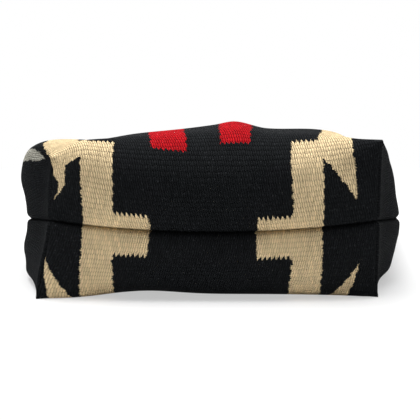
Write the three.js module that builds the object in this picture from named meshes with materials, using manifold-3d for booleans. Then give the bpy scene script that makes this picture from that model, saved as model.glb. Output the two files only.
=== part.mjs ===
import * as THREE from "three";
import { mergeVertices } from "three/addons/utils/BufferGeometryUtils.js";
import Module from "manifold-3d";

// Tote bag of tapestry-woven wool with boxed corners and two leather handles.
// It lies on its back panel with its base towards -Y and its mouth towards +Y.
// Sizes are in millimetres, +Z is up and the floor is at z = 0.

// Bag
const baseLength = 334;
const baseDepth = 160;
const bagHeight = 300;
const clothThickness = 3.2;
const frontEdgeRadius = 48;
const backEdgeRadius = 14;
const frontSwell = 7;
const backSwell = 15;
const seamDip = 3;
const seamRoll = 10;
const seamGap = 0.4;

// Woven figure, measured from its own middle line and from the base seam
const figureMiddle = -11;
const armReach = 53;
const strokeInner = 88.5;
const strokeWidth = 32;
const blockInner = 115;
const blockWidth = 34;
const redInner = 17.5;
const redWidth = 33.5;
const greyInner = 161;
const greyWidth = 13;
const greyRise = 50;
const figureTop = 300;
const belowSeam = 5;
const fieldGap = 0.3;

// Heights of the figure on each panel
const frontArm = 18;
const frontStep = 93;
const frontFork = 73;
const frontClaw = 26;
const frontBar = 88;
const frontGrey = 100;
const backArm = 29;
const backStep = 108;
const backFork = 94;
const backClaw = 44;
const backBar = 100;
const backGrey = 118;

// Hem, lining and handles
const hemDepth = 30;
const liningThickness = 1;
const liningDrop = 8;
const liningSlack = 2.5;
const liningEase = 26;
const layerGap = 0.6;
const strapWidth = 28;
const strapThickness = 3;
const strapSpread = 78;
const strapSewn = 52;
const frontReach = 215;
const frontSpread = 92;
const frontOverhang = 30;
const backReach = 175;
const backSpread = 62;
const backOverhang = 24;
const floorGap = 0.2;

const halfLength = baseLength / 2;
const halfDepth = baseDepth / 2;
const panelSide = halfLength + halfDepth;
const panelTop = halfDepth + bagHeight;

// Places across and up a panel where its facets meet, closer together where it turns.
// The rows of the base match the columns of the side, because the two are sewn together.
const turning = [0, 0.0625, 0.1875, 0.3375, 0.5, 0.675, 0.8375, 1].map((share) => share * halfDepth);
const half = [0.24, 0.47, 0.7, 0.87, 0.96, 1].map((share) => share * halfLength);
half.push(...turning.slice(0, -1).reverse().map((distance) => panelSide - distance));
const columns = [...half.map((u) => -u).reverse(), 0, ...half];
const rows = [...turning];
for (const share of [0.025, 0.06, 0.11, 0.19, 0.3, 0.43, 0.59, 0.75]) {
  rows.push(halfDepth + share * bagHeight);
}
rows.push(panelTop - hemDepth, panelTop);

const smooth = (t) => THREE.MathUtils.smoothstep(t, 0, 1);
const between = (t) => THREE.MathUtils.clamp(t, 0, 1);
const mix = THREE.MathUtils.lerp;

// A smooth curve through [position, value] stations, level past both ends.
function through(x, stations) {
  const last = stations.length - 1;
  let i = 0;
  while (i < last - 1 && x > stations[i + 1][0]) i += 1;
  const slope = (k) => {
    const [x0, y0] = stations[Math.max(k - 1, 0)];
    const [x1, y1] = stations[Math.min(k + 1, last)];
    return (y1 - y0) / (x1 - x0);
  };
  const [x0, y0] = stations[i];
  const [x1, y1] = stations[i + 1];
  const span = x1 - x0;
  const t = between((x - x0) / span);
  const rise = t * t * (3 - 2 * t);
  const leave = t * (1 - t) * (1 - t) * span * slope(i);
  const arrive = t * t * (t - 1) * span * slope(i + 1);
  return y0 + (y1 - y0) * rise + leave + arrive;
}

// Outline of the lying bag: shares of the base size at shares of the bag's height.
const rightWidth = [[0, 1.13], [0.2, 1.168], [0.333, 1.192], [0.667, 1.255], [1, 1.353]];
const leftWidth = [[0, 1.165], [0.2, 1.206], [0.333, 1.222], [0.667, 1.28], [1, 1.365]];
const sideSeam = [[0, 0.491], [0.167, 0.435], [0.333, 0.385], [0.667, 0.31], [1, 0.25]];
const topLine = [[0, 1.004], [0.2, 1.023], [0.367, 0.998], [0.667, 0.81], [1, 0.525]];
// Swells and hollows of the upper face across the bag, as shares of the base depth.
const crest = [
  [-1.29, -0.05], [-1, -0.07], [-0.75, -0.08], [-0.5, -0.05], [-0.2, -0.018], [0, 0.009],
  [0.14, 0.032], [0.34, -0.013], [0.66, -0.014], [0.9, -0.024], [1.05, -0.03], [1.29, -0.06],
];

// Height of the seam between the two panels; the base seam sags in its middle.
function seamHeight(x, y) {
  const sag = 0.075 * (1 - between(Math.abs(x) / halfLength) ** 2);
  return baseDepth * (through(y / bagHeight, sideSeam) - sag * Math.exp(-y / (0.2 * bagHeight)));
}

function topHeight(x, y) {
  const shown = smooth(y / halfDepth) * (1 - smooth((y / bagHeight - 0.5) / 0.3));
  const swell = through(x / halfLength, crest) * shown;
  return baseDepth * (through(y / bagHeight, topLine) + swell);
}

// The mouth end of the back panel is lifted by the handle that is sewn under it.
function floorHeight(y) {
  return (strapThickness + 3 * layerGap) * smooth((y / bagHeight - 0.62) / 0.24);
}

// A point on a rounded-off section, a share s of the way from its crest to its side.
function onRoundedSection(width, height, power, s) {
  const steps = 72;
  const lengths = [0];
  const points = [];
  for (let i = 0; i <= steps; i++) {
    const angle = (i / steps) * (Math.PI / 2);
    points.push([
      width * Math.sin(angle) ** (2 / power),
      i < steps ? height * Math.cos(angle) ** (2 / power) : 0,
    ]);
    if (i) {
      const [x0, z0] = points[i - 1];
      const [x1, z1] = points[i];
      lengths.push(lengths[i - 1] + Math.hypot(x1 - x0, z1 - z0));
    }
  }
  const wanted = s * lengths[steps];
  let i = 1;
  while (i < steps && lengths[i] < wanted) i += 1;
  const t = between((wanted - lengths[i - 1]) / (lengths[i] - lengths[i - 1]));
  return [mix(points[i - 1][0], points[i][0], t), mix(points[i - 1][1], points[i][1], t)];
}

// How boxy the sections of the bag are at its base and at its mouth.
const frontPower = { left: 8, right: 4.6, mouth: 2.8 };
const backPower = { left: 14, right: 9, mouth: 4 };
const sharpRadius = 1e-5;

// The outer face of a panel. u runs across the cloth and v up it from the base seam.
function bareSurface(u, v, front) {
  const across = Math.abs(u);
  const side = u < 0 ? -1 : 1;
  const share = between(across / halfLength);
  const full = front ? frontEdgeRadius : backEdgeRadius;
  const radius = Math.max(full * (1 - share ** 3), sharpRadius);
  const arcStart = halfDepth - (radius * Math.PI) / 4;
  const arcEnd = halfDepth + (radius * Math.PI) / 4;
  let y = v - halfDepth;
  let level = 1;
  if (across <= halfLength) {
    if (v < arcStart) {
      y = 0;
      level = (v * (halfDepth - radius)) / arcStart / halfDepth;
    } else if (v < arcEnd) {
      const turn = (v - arcStart) / radius;
      y = radius * (1 - Math.cos(turn));
      level = 1 - (radius * (1 - Math.sin(turn))) / halfDepth;
    } else {
      y = radius + ((v - arcEnd) * (bagHeight - radius)) / (panelTop - arcEnd);
    }
  }

  const along = y / bagHeight;
  const width = halfLength * through(along, side > 0 ? rightWidth : leftWidth);
  const powers = front ? frontPower : backPower;
  const power = mix(side > 0 ? powers.right : powers.left, powers.mouth, smooth(along));
  const seamLevel = baseDepth * through(along, sideSeam);
  const rise = front ? topHeight(0, y) - seamLevel : seamLevel;
  const [roundX, roundZ] = onRoundedSection(width, rise, power, across / panelSide);
  const boxy = 1 - smooth(y / (0.45 * halfLength));
  const x = side * mix(roundX, Math.min(across, halfLength), boxy);
  const boxZ = 1 - between((across - halfLength) / halfDepth);
  const zeta = mix(roundZ / rise, boxZ, boxy);

  const seam = seamHeight(x, y);
  const reach = level * zeta;
  const far = front ? topHeight(x, y) : floorHeight(y);
  const z = mix(seam, far, reach);
  const swell = front
    ? frontSwell * Math.sin(Math.PI * reach ** 0.8)
    : backSwell * Math.sin(Math.PI * reach ** 0.9);
  const fade = (1 - between(Math.abs(x) / halfLength) ** 4) * Math.exp(-((y / halfDepth / 0.5) ** 2));
  return new THREE.Vector3(x, y - swell * fade, z);
}

// Two corners of the base that have lost their shape: one pushed in, one drawn out.
// Their places, reaches and moves are shares of the base depth.
const corners = [
  { at: [-1.064, 0, 1], size: [0.1625, 0.25, 0.2125], move: [0.0125, 0.125, -0.13125] },
  { at: [-1.096, 0, 0], size: [0.1875, 0.375, 0.25], move: [-0.0625, -0.0375, 0] },
];

function surface(u, v, front) {
  const p = bareSurface(u, v, front);
  const moved = p.clone();
  for (const { at, size, move } of corners) {
    const dx = (p.x / baseDepth - at[0]) / size[0];
    const dy = (p.y / baseDepth - at[1]) / size[1];
    const dz = (p.z / baseDepth - at[2]) / size[2];
    const pull = baseDepth * Math.exp(-dx * dx - dy * dy - dz * dz);
    moved.addScaledVector(new THREE.Vector3(...move), pull);
  }
  const { edge, corner, direction, cornerOut } = seamsNear(u, v, front);
  const dip = (distance) => seamDip * (1 - between(distance / seamRoll)) ** 2;
  const fade = smooth(corner.along / (2 * seamRoll));
  moved.addScaledVector(direction, -dip(edge));
  moved.addScaledVector(cornerOut, (-dip(corner.distance) * fade) / Math.SQRT2);
  return moved;
}

// Distances from a point of the cloth to its seams, and the outward directions there.
function seamsNear(u, v, front) {
  const across = Math.abs(u);
  const side = u < 0 ? -1 : 1;
  const onSide = across > halfLength;
  const edge = onSide ? panelSide - across : v;
  const corner = { distance: Infinity, along: 0 };
  if (onSide) {
    corner.distance = v - halfDepth;
    corner.along = across - halfLength;
  } else if (v < halfDepth) {
    corner.distance = halfLength - across;
    corner.along = halfDepth - v;
  } else {
    corner.distance = Math.hypot(halfLength - across, v - halfDepth);
  }
  const tip = (front ? 1 : -1) * (1 - smooth(corner.along / seamRoll));
  const cornerOut = new THREE.Vector3(side, -1, tip);
  const diagonal = new THREE.Vector3(side, -1, 0).normalize();
  const plain = onSide ? new THREE.Vector3(side, 0, 0) : new THREE.Vector3(0, -1, 0);
  const direction = plain.lerp(diagonal, 1 - smooth(corner.distance / (2 * seamRoll))).normalize();
  return { edge, corner, direction, cornerOut };
}

// Outward direction of the cloth; at a seam both panels share one direction.
function outward(u, v, front) {
  const step = seamRoll / 20;
  const alongU = surface(u + step, v, front).sub(surface(u - step, v, front));
  const alongV = surface(u, v + step, front).sub(surface(u, Math.max(v - step, 0), front));
  const normal = alongU.cross(alongV).normalize();
  if (!front) normal.negate();
  const { edge, corner, direction, cornerOut } = seamsNear(u, v, front);
  normal.lerp(direction, 1 - smooth(edge / seamRoll));
  normal.lerp(cornerOut, 1 - smooth(corner.distance / seamRoll));
  return normal;
}

// A point at a height above the outer face of a panel; below the face it is negative.
function fold(u, v, height, front) {
  const p = surface(u, v, front);
  return height ? p.addScaledVector(outward(u, v, front), height) : p;
}

const wasm = await Module();
wasm.setup();

function solidOf(geometry) {
  geometry.deleteAttribute("normal");
  geometry.deleteAttribute("uv");
  const merged = mergeVertices(geometry, 1e-4);
  return new wasm.Manifold(
    new wasm.Mesh({
      numProp: 3,
      vertProperties: merged.attributes.position.array,
      triVerts: new Uint32Array(merged.index.array),
    }),
  );
}

// A prism with the given outline, taller than the domed cloth.
function prism(outline) {
  const shape = new THREE.Shape(outline.map(([u, v]) => new THREE.Vector2(u, v)));
  const depth = panelTop / 2;
  const geometry = new THREE.ExtrudeGeometry(shape, { depth, bevelEnabled: false });
  return solidOf(geometry.translate(0, 0, -depth / 2));
}

// The cloth of a panel, laid out and slightly domed so that every facet stays its own.
const dome = (u, v) => -(u * u + u * v + v * v) / (21 * panelTop);

function flatCloth() {
  const edge = seamGap / 2;
  const stride = rows.length;
  const layer = columns.length * stride;
  const positions = [];
  for (const height of [0, -clothThickness]) {
    for (const column of columns) {
      for (const row of rows) {
        let u = column;
        let v = row;
        const notch = Math.abs(column) >= halfLength && row <= halfDepth;
        if (row === 0) v = edge;
        if (Math.abs(column) === panelSide) u -= Math.sign(u) * edge;
        if (notch && Math.abs(column) === halfLength) u -= Math.sign(u) * edge;
        if (notch && row === halfDepth) v += edge;
        positions.push(new THREE.Vector3(u, v, height + dome(u, v)));
      }
    }
  }
  const cell = (i, j) => {
    if (i < 0 || j < 0 || i + 1 >= columns.length || j + 1 >= stride) return false;
    const onSide = Math.abs(columns[i] + columns[i + 1]) > baseLength;
    return !(onSide && rows[j] < halfDepth);
  };
  const triangles = [];
  const quad = (a, b, c, d) => triangles.push([a, b, c], [a, c, d]);
  for (let i = 0; i + 1 < columns.length; i++) {
    for (let j = 0; j + 1 < stride; j++) {
      if (!cell(i, j)) continue;
      const a = i * stride + j;
      const b = a + stride;
      quad(a, b, b + 1, a + 1);
      quad(a + layer, a + 1 + layer, b + 1 + layer, b + layer);
      if (!cell(i, j - 1)) quad(a, a + layer, b + layer, b);
      if (!cell(i, j + 1)) quad(b + 1, b + 1 + layer, a + 1 + layer, a + 1);
      if (!cell(i - 1, j)) quad(a + 1, a + 1 + layer, a + layer, a);
      if (!cell(i + 1, j)) quad(b, b + layer, b + 1 + layer, b + 1);
    }
  }
  return solidOf(facingOut(positions, triangles));
}

// The same outline with every side moved outwards by a distance.
function grown(outline, distance) {
  const turn = THREE.ShapeUtils.area(outline.map(([x, y]) => ({ x, y }))) > 0 ? 1 : -1;
  const count = outline.length;
  const sideOf = (a, b) => {
    const length = Math.hypot(b[0] - a[0], b[1] - a[1]);
    return [(turn * (b[1] - a[1])) / length, (-turn * (b[0] - a[0])) / length];
  };
  return outline.map((p, i) => {
    const n0 = sideOf(outline[(i + count - 1) % count], p);
    const n1 = sideOf(p, outline[(i + 1) % count]);
    const scale = distance / (1 + n0[0] * n1[0] + n0[1] * n1[1]);
    return [p[0] + (n0[0] + n1[0]) * scale, p[1] + (n0[1] + n1[1]) * scale];
  });
}

// Turns a solid's faces outwards.
function facingOut(positions, triangles) {
  let volume = 0;
  for (const [a, b, c] of triangles) {
    volume += positions[a].dot(positions[b].clone().cross(positions[c]));
  }
  const geometry = new THREE.BufferGeometry().setFromPoints(positions);
  geometry.setIndex(triangles.flatMap(([a, b, c]) => (volume < 0 ? [a, c, b] : [a, b, c])));
  return geometry;
}

// A piece cut from the flat cloth, folded into its place on the bag: its outer face, the
// inner face below it and a wall round every edge.
function folded(flat, front) {
  const mesh = flat.getMesh();
  const count = mesh.numVert;
  const places = [];
  for (let i = 0; i < count; i++) {
    const [u, v, z] = mesh.vertProperties.subarray(i * mesh.numProp, i * mesh.numProp + 3);
    places.push({ u, v, outer: z - dome(u, v) > -clothThickness / 2 });
  }
  const positions = [
    ...places.map(({ u, v }) => fold(u, v, 0, front)),
    ...places.map(({ u, v }) => fold(u, v, -clothThickness, front)),
  ];
  const triangles = [];
  const edges = new Map();
  for (let i = 0; i < mesh.triVerts.length; i += 3) {
    const face = [...mesh.triVerts.subarray(i, i + 3)];
    if (!face.every((k) => places[k].outer)) continue;
    const [a, b, c] = face;
    triangles.push([a, b, c], [a + count, c + count, b + count]);
    for (const [p, q] of [[a, b], [b, c], [c, a]]) edges.set(p + "_" + q, [p, q]);
  }
  for (const [p, q] of edges.values()) {
    if (edges.has(q + "_" + p)) continue;
    const rising = places[q].v - places[p].v || places[q].u - places[p].u;
    if (rising > 0) triangles.push([p, p + count, q], [q, p + count, q + count]);
    else triangles.push([p, p + count, q + count], [p, q + count, q]);
  }
  return facingOut(positions, triangles);
}

// A solid through a row of sections with the same number of corners, capped or a ring.
// From the section numbered mirrored on, its facets are cut along their other diagonal.
function lofted(sections, ring, mirrored = Infinity) {
  const around = sections[0].length;
  const positions = sections.flat();
  const triangles = [];
  const rows = ring ? sections.length : sections.length - 1;
  for (let i = 0; i < rows; i++) {
    for (let j = 0; j < around; j++) {
      const a = i * around + j;
      const b = i * around + ((j + 1) % around);
      const c = (a + around) % positions.length;
      const d = (b + around) % positions.length;
      if (i < mirrored) triangles.push([a, b, d], [a, d, c]);
      else triangles.push([a, b, c], [b, d, c]);
    }
  }
  if (!ring) {
    const end = positions.length - around;
    for (let j = 1; j < around - 1; j++) {
      triangles.push([0, j + 1, j], [end, end + j, end + j + 1]);
    }
  }
  return facingOut(positions, triangles);
}

const bag = new THREE.Group();
bag.name = "tote_bag";

function add(name, geometry, color, roughness) {
  const material = new THREE.MeshStandardMaterial({ color, roughness, metalness: 0 });
  const mesh = new THREE.Mesh(geometry, material);
  mesh.name = name;
  geometry.computeVertexNormals();
  bag.add(mesh);
}

const black = 0x1a1b1d;
const cream = 0xc9b189;
const red = 0xba2630;
const grey = 0x98968a;
const leather = 0x2b1e17;
const lining = 0x3a332c;

// The figure of one panel: a stroke with an arm at the base seam, a block above it and
// a claw that hangs from the block, then the red bar and the grey wedge.
function figure(front) {
  const arm = front ? frontArm : backArm;
  const step = front ? frontStep : backStep;
  const fork = front ? frontFork : backFork;
  const claw = front ? frontClaw : backClaw;
  const bar = front ? frontBar : backBar;
  const wedge = front ? frontGrey : backGrey;
  const strokeOuter = strokeInner + strokeWidth;
  const blockOuter = blockInner + blockWidth;
  const redOuter = redInner + redWidth;
  const greyOuter = greyInner + greyWidth;
  return {
    cream: [
      [armReach, -belowSeam], [armReach, arm], [strokeInner, arm], [strokeInner, step],
      [blockInner, step], [blockInner, figureTop], [blockOuter, figureTop],
      [blockOuter, claw], [strokeOuter, fork], [strokeOuter, -belowSeam],
    ],
    red: [[redInner, bar], [redOuter, bar], [redOuter, figureTop], [redInner, figureTop]],
    grey: [
      [greyInner, wedge], [greyOuter, wedge + greyRise],
      [greyOuter, figureTop], [greyInner, figureTop],
    ],
  };
}

function addPanel(front) {
  const name = front ? "front" : "back";
  const cloth = flatCloth();
  const colors = { cream, red, grey };
  const fields = figure(front);
  let ground = cloth;
  for (const [field, half] of Object.entries(fields)) {
    for (const side of [-1, 1]) {
      const placed = half.map(([h, v]) => [figureMiddle + side * h, v]);
      const yarn = cloth.intersect(prism(placed));
      ground = ground.subtract(prism(grown(placed, fieldGap)));
      const label = [name, field, side < 0 ? "left" : "right"].join("_");
      add(label, folded(yarn, front), colors[field], 0.95);
    }
  }
  add(name + "_ground", folded(ground, front), black, 0.95);
}

addPanel(true);
addPanel(false);

// The hem is the same cloth turned in at the mouth, one closed band.
const hemTop = -clothThickness - layerGap;
const hemBottom = hemTop - clothThickness;
const hemSection = (u, front) => [
  fold(u, panelTop, hemTop, front),
  fold(u, panelTop, hemBottom, front),
  fold(u, panelTop - hemDepth, hemBottom, front),
  fold(u, panelTop - hemDepth, hemTop, front),
];
const hemRing = [
  ...columns.slice(0, -1).map((u) => hemSection(u, true)),
  ...columns.slice(1).reverse().map((u) => hemSection(u, false)),
];
add("mouth_hem", lofted(hemRing, true, columns.length - 1), black, 0.95);

// The lining is one bag inside the cloth, sewn to the inside of the hem.
const liningTop = panelTop - liningDrop;
const hemEdge = panelTop - hemDepth;
const steps = rows.filter((v, i) => v < hemEdge - 1.5 * liningEase && (v < 1.6 * halfDepth || i % 2));
steps.push(hemEdge - liningEase, hemEdge - 0.3 * liningEase, hemEdge, liningTop);

function liningHeight(v) {
  const underHem = hemBottom - 2 * layerGap;
  const underCloth = -clothThickness - liningSlack;
  return mix(underCloth, underHem, smooth((v - hemEdge + liningEase) / (0.7 * liningEase)));
}

function addLining() {
  const positions = [];
  const triangles = [];
  const put = (a, b, c) => {
    const start = positions.length;
    positions.push(a, b, c);
    triangles.push([start, start + 1, start + 2]);
  };
  for (const front of [true, false]) {
    for (const inner of [false, true]) {
      const at = (u, v) => fold(u, v, liningHeight(v) - (inner ? liningThickness : 0), front);
      for (let j = 0; j + 1 < steps.length; j++) {
        for (let i = 0; i + 1 < columns.length; i++) {
          const onSide = Math.abs(columns[i] + columns[i + 1]) > baseLength;
          if (onSide && steps[j] < halfDepth) continue;
          const corner = [
            at(columns[i], steps[j]), at(columns[i + 1], steps[j]),
            at(columns[i + 1], steps[j + 1]), at(columns[i], steps[j + 1]),
          ];
          if (inner === front) corner.reverse();
          put(corner[0], corner[1], corner[2]);
          put(corner[0], corner[2], corner[3]);
        }
      }
    }
    for (let i = 0; i + 1 < columns.length; i++) {
      const height = liningHeight(liningTop);
      const rim = [
        fold(columns[i], liningTop, height, front),
        fold(columns[i + 1], liningTop, height, front),
        fold(columns[i + 1], liningTop, height - liningThickness, front),
        fold(columns[i], liningTop, height - liningThickness, front),
      ];
      if (!front) rim.reverse();
      put(rim[0], rim[1], rim[2]);
      put(rim[0], rim[2], rim[3]);
    }
  }
  add("lining", facingOut(positions, triangles), lining, 0.8);
}

addLining();

// A handle is one flat strap: sewn to the panel, then falling onto the floor beyond the
// mouth and turning onto its edge round the end of the loop.
function addHandle(front) {
  const lift = (front ? 1 : 1.8) * layerGap + strapThickness / 2;
  const spread = front ? frontSpread : backSpread;
  const reach = front ? frontReach : backReach;
  const overhang = front ? frontOverhang : backOverhang;
  const stations = [];
  const sewnSteps = 4;
  const up = new THREE.Vector3(0, 0, front ? 1 : -1);

  const sewn = (side) => {
    const list = [];
    for (let i = 0; i <= sewnSteps; i++) {
      const v = panelTop - strapSewn + (i * strapSewn) / sewnSteps;
      const p = fold(side * strapSpread, v, lift, front);
      const ahead = fold(side * strapSpread, v + strapThickness, lift, front);
      const behind = fold(side * strapSpread, v - strapThickness, lift, front);
      const flat = outward(side * strapSpread, v, front).normalize();
      list.push({ p, along: ahead.sub(behind).normalize(), normal: flat });
    }
    return list;
  };
  const left = sewn(-1);
  const right = sewn(1);
  const leftEnd = left[sewnSteps];
  const rightEnd = right[sewnSteps];

  const rest = strapWidth / 2 + floorGap;
  const point = (x, y, z) => new THREE.Vector3(x, bagHeight + y, z);
  const loop = new THREE.CatmullRomCurve3(
    [
      leftEnd.p,
      leftEnd.p.clone().addScaledVector(leftEnd.along, overhang),
      point(-spread, 0.5 * reach, rest),
      point(-0.72 * spread, 0.86 * reach, rest),
      point(0, reach, rest),
      point(0.72 * spread, 0.86 * reach, rest),
      point(spread, 0.5 * reach, rest),
      rightEnd.p.clone().addScaledVector(rightEnd.along, overhang),
      rightEnd.p,
    ],
    false,
    "centripetal",
  );

  stations.push(...left.slice(0, -1));
  const loopSteps = 40;
  for (let i = 0; i <= loopSteps; i++) {
    const t = i / loopSteps;
    const p = loop.getPointAt(t);
    const along = loop.getTangentAt(t);
    const out = new THREE.Vector3(-along.y, along.x, 0).normalize();
    const turn = (Math.PI / 2) * smooth((Math.min(t, 1 - t) - 0.03) / 0.2);
    const flat = t < 0.5 ? leftEnd.normal : rightEnd.normal;
    const start = flat.clone().lerp(up, smooth(Math.min(t, 1 - t) / 0.1));
    const normal = start.multiplyScalar(Math.cos(turn)).addScaledVector(out, Math.sin(turn));
    normal.addScaledVector(along, -normal.dot(along)).normalize();
    const wide = new THREE.Vector3().crossVectors(normal, along);
    const low = Math.abs(wide.z) * (strapWidth / 2) + Math.abs(normal.z) * (strapThickness / 2);
    p.z = Math.max(p.z, low + floorGap);
    stations.push({ p, along, normal });
  }
  for (const { p, along, normal } of right.slice(0, -1).reverse()) {
    stations.push({ p, along: along.clone().negate(), normal });
  }

  const sections = stations.map(({ p, along, normal }) => {
    const wide = new THREE.Vector3().crossVectors(normal, along).normalize();
    const corner = (a, b) =>
      p.clone()
        .addScaledVector(wide, (a * strapWidth) / 2)
        .addScaledVector(normal, (b * strapThickness) / 2);
    return [corner(-1, -1), corner(1, -1), corner(1, 1), corner(-1, 1)];
  });
  add(front ? "handle_front" : "handle_back", lofted(sections, false), leather, 0.6);
}

addHandle(true);
addHandle(false);

// The origin goes to the middle of the bag's footprint, on the floor.
const box = new THREE.Box3().setFromObject(bag);
const middle = box.getCenter(new THREE.Vector3());
for (const mesh of bag.children) {
  mesh.geometry.translate(-middle.x, -middle.y, -box.min.z);
}

export default bag;
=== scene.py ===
import math

import bmesh
import bpy
import numpy as np
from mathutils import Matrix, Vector


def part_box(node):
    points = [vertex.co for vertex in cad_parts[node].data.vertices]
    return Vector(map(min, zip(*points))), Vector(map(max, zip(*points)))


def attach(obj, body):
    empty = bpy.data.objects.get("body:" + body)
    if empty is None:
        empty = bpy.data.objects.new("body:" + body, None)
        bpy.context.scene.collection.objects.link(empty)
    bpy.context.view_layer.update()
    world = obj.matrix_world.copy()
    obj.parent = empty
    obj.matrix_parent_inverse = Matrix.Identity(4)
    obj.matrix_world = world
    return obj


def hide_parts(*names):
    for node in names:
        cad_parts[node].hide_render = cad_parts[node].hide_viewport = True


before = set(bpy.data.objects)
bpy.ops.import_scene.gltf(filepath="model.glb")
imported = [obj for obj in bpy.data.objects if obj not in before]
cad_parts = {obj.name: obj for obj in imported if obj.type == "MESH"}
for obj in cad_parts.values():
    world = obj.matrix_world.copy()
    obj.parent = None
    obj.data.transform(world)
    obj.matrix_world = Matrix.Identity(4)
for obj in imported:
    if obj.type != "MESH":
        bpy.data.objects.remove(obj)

bl_info = {
    "name": "Woven wool tote",
    "version": (1, 0, 0),
    "blender": (4, 5, 0),
    "location": "View3D > Sidebar > Tote",
    "description": "Dresses a lying tote bag in tapestry-woven wool with leather straps",
    "category": "Object",
}

# The form functions below work in millimetres, in the bag's own frame: x across, y from the
# base towards the mouth and z up. Meshes are in metres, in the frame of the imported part.
MM = 0.001
SAME_PLACE = 2e-6              # vertices nearer than this are one, in metres


class ToteSizes(bpy.types.PropertyGroup):
    """Sizes of the bag as it was cut and sewn."""

    base_length: bpy.props.FloatProperty(
        name="Base length", description="Length of the base between its end seams",
        default=0.334, unit="LENGTH")
    base_depth: bpy.props.FloatProperty(
        name="Base depth", description="Depth of the base", default=0.160, unit="LENGTH")
    height: bpy.props.FloatProperty(
        name="Height", description="From the base to the mouth", default=0.300, unit="LENGTH")
    cloth: bpy.props.FloatProperty(
        name="Cloth", description="Thickness of the woven wool", default=0.0032, unit="LENGTH")
    front_round: bpy.props.FloatProperty(
        name="Front rounding", description="Rounding from the base to the upper panel",
        default=0.048, unit="LENGTH")
    back_round: bpy.props.FloatProperty(
        name="Back rounding", description="Rounding from the base to the lower panel",
        default=0.014, unit="LENGTH")
    upper_seam_round: bpy.props.FloatProperty(
        name="Upper seam rounding", description="Radius at which the upper panel turns in to a seam",
        default=0.0075, unit="LENGTH")
    lower_seam_round: bpy.props.FloatProperty(
        name="Lower seam rounding", description="Radius at which the lower panel turns in to a seam",
        default=0.0050, unit="LENGTH")
    end_seam_round: bpy.props.FloatProperty(
        name="End seam rounding", description="The same at the ends of the base",
        default=0.0026, unit="LENGTH")
    allowance: bpy.props.FloatProperty(
        name="Allowance", description="Cloth turned in beyond each seam",
        default=0.005, unit="LENGTH")
    hem: bpy.props.FloatProperty(
        name="Hem", description="Cloth turned in at the mouth", default=0.028, unit="LENGTH")
    stitch: bpy.props.FloatProperty(
        name="Stitch", description="Spacing of the stitches on the straps",
        default=0.0048, unit="LENGTH")
    strap_sewn: bpy.props.FloatProperty(
        name="Sewn end", description="Length of strap that is sewn to the panel",
        default=0.050, unit="LENGTH")
    facet: bpy.props.FloatProperty(
        name="Facet", description="Spacing of the cloth's mesh", default=0.0022, unit="LENGTH")


class ToteWeave(bpy.types.PropertyGroup):
    """Sizes of the weave and of the woven figure."""

    row: bpy.props.FloatProperty(
        name="Row", description="Spacing of the warps", default=0.0049, unit="LENGTH")
    weft: bpy.props.FloatProperty(
        name="Weft", description="Spacing of the weft's bumps along a warp",
        default=0.00235, unit="LENGTH")
    tooth: bpy.props.FloatProperty(
        name="Tooth", description="Height of the teeth where two colours meet across the warps",
        default=0.0050, unit="LENGTH")
    tooth_pitch: bpy.props.FloatProperty(
        name="Tooth pitch", description="Spacing of those teeth", default=0.0047, unit="LENGTH")
    scallop: bpy.props.FloatProperty(
        name="Scallop", description="Depth of the scallops where two colours meet along the wefts",
        default=0.0012, unit="LENGTH")


class ToteColours(bpy.types.PropertyGroup):
    """Colours of the yarns, the lining and the straps."""

    black: bpy.props.FloatVectorProperty(
        name="Black", description="Ground yarn", subtype="COLOR", size=4,
        default=(0.0100, 0.0110, 0.0121, 1))
    cream: bpy.props.FloatVectorProperty(
        name="Cream", description="Yarn of the stroke and the block", subtype="COLOR", size=4,
        default=(0.79, 0.615, 0.365, 1))
    red: bpy.props.FloatVectorProperty(
        name="Red", description="Yarn of the bars", subtype="COLOR", size=4,
        default=(0.42, 0.0075, 0.0125, 1))
    grey: bpy.props.FloatVectorProperty(
        name="Grey", description="Yarn of the outer stripes", subtype="COLOR", size=4,
        default=(0.36, 0.35, 0.30, 1))
    lining: bpy.props.FloatVectorProperty(
        name="Lining", description="Cotton lining", subtype="COLOR", size=4,
        default=(0.050, 0.040, 0.031, 1))
    leather: bpy.props.FloatVectorProperty(
        name="Leather", description="Straps", subtype="COLOR", size=4,
        default=(0.040, 0.017, 0.009, 1))
    thread: bpy.props.FloatVectorProperty(
        name="Thread", description="Stitches on the straps", subtype="COLOR", size=4,
        default=(0.22, 0.15, 0.09, 1))


class ToteStage(bpy.types.PropertyGroup):
    """Camera and light."""

    elevation: bpy.props.FloatProperty(
        name="Elevation", description="Camera's angle above the horizon",
        default=math.radians(12), subtype="ANGLE")
    distance: bpy.props.FloatProperty(
        name="Distance", description="Camera's distance from its target",
        default=1.1, unit="LENGTH")
    aim_height: bpy.props.FloatProperty(
        name="Aim height", description="Height of the target above the floor",
        default=0.0906, unit="LENGTH")
    aim_side: bpy.props.FloatProperty(
        name="Aim side", description="The target's place across the base",
        default=-0.004, unit="LENGTH")
    focal_points: bpy.props.FloatProperty(
        name="Focal length", description="In points of the 420 point wide picture", default=1100)
    top_light: bpy.props.FloatProperty(
        name="Top light", description="Power of the overhead light in watts", default=82.0)
    front_light: bpy.props.FloatProperty(
        name="Front light", description="Power of the light before the base, in watts",
        default=1.5)
    sky: bpy.props.FloatProperty(
        name="Sky", description="Even light from all round", default=0.07)


def smooth(t):
    """A smooth step from 0 to 1."""
    t = np.clip(t, 0, 1)
    return t * t * (3 - 2 * t)


def mix(a, b, t):
    """A straight mix of a and b."""
    return a + (b - a) * t


def unit(a):
    """Directions of length 1."""
    return a / np.linalg.norm(a, axis=-1, keepdims=True)


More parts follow.
